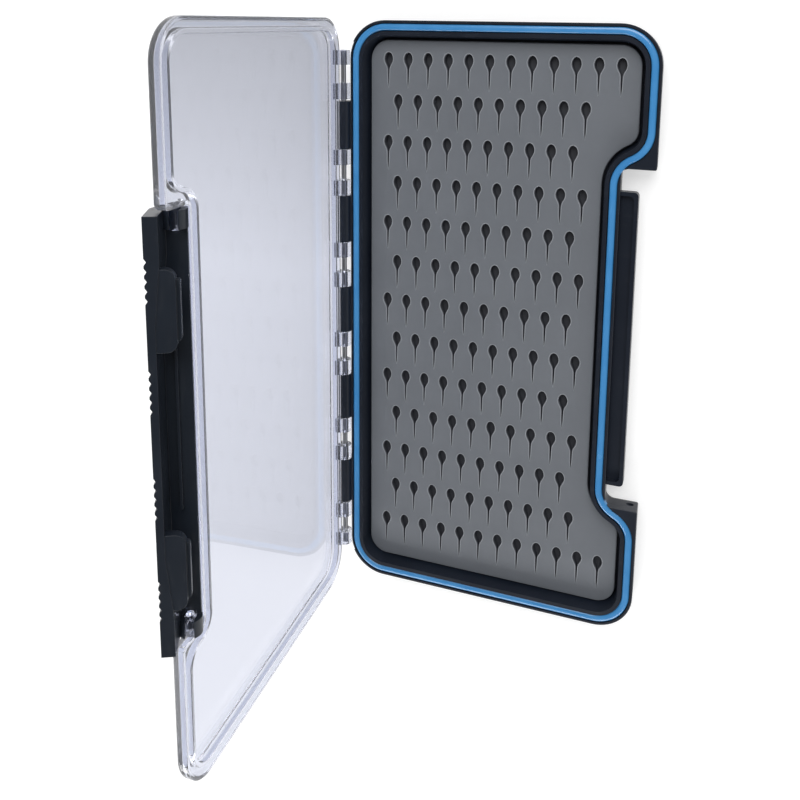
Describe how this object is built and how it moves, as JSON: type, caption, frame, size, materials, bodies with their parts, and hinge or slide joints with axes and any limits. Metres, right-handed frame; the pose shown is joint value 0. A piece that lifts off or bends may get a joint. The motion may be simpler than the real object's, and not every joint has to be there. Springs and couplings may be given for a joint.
{
  "type": "fly box",
  "caption": "Slim fishing fly box: dark tray with blue seal and grey slit insert, clear lid on a rod hinge, and a long latch bar on pegs at the free edge.",
  "frame": {"origin": "centre of the tray's flat back, which the box lies on", "axes": "+Z out of the tray towards its mouth, +X from the hinge to the free edge with the catch, +Y along the box towards the slots' round heads"},
  "size_m": [0.1018, 0.19, 0.1121],
  "materials": {
    "tray_plastic": "fine satin",
    "blue_seal": "smooth silicone rubber",
    "grey_insert": "matt silicone sheet",
    "adhesive_tape": "matt",
    "steel_rod": "drawn wire",
    "clear_plastic": "clear polished",
    "latch_plastic": "satin"
  },
  "bodies": {
    "base": {"base_shell": "tray_plastic", "seal_gasket": "blue_seal", "slit_insert": "grey_insert", "insert_tape": "adhesive_tape", "hinge_rod": "steel_rod"},
    "lid": {"lid_shell": "clear_plastic"},
    "latch": {"latch_bar": "latch_plastic"}
  },
  "joints": [
    {"name": "lid_hinge", "type": "hinge", "parent": "base", "child": "lid", "pos_m": [-0.0502, 0, 0.0084], "axis": [0, -1, 0], "range_deg": [-87.3, 90]},
    {"name": "latch_pivot", "type": "hinge", "parent": "lid", "child": "latch", "pos_m": [-0.04739, 0, 0.10197], "axis": [0, -1, 0], "range_deg": [-66, 0]}
  ]
}
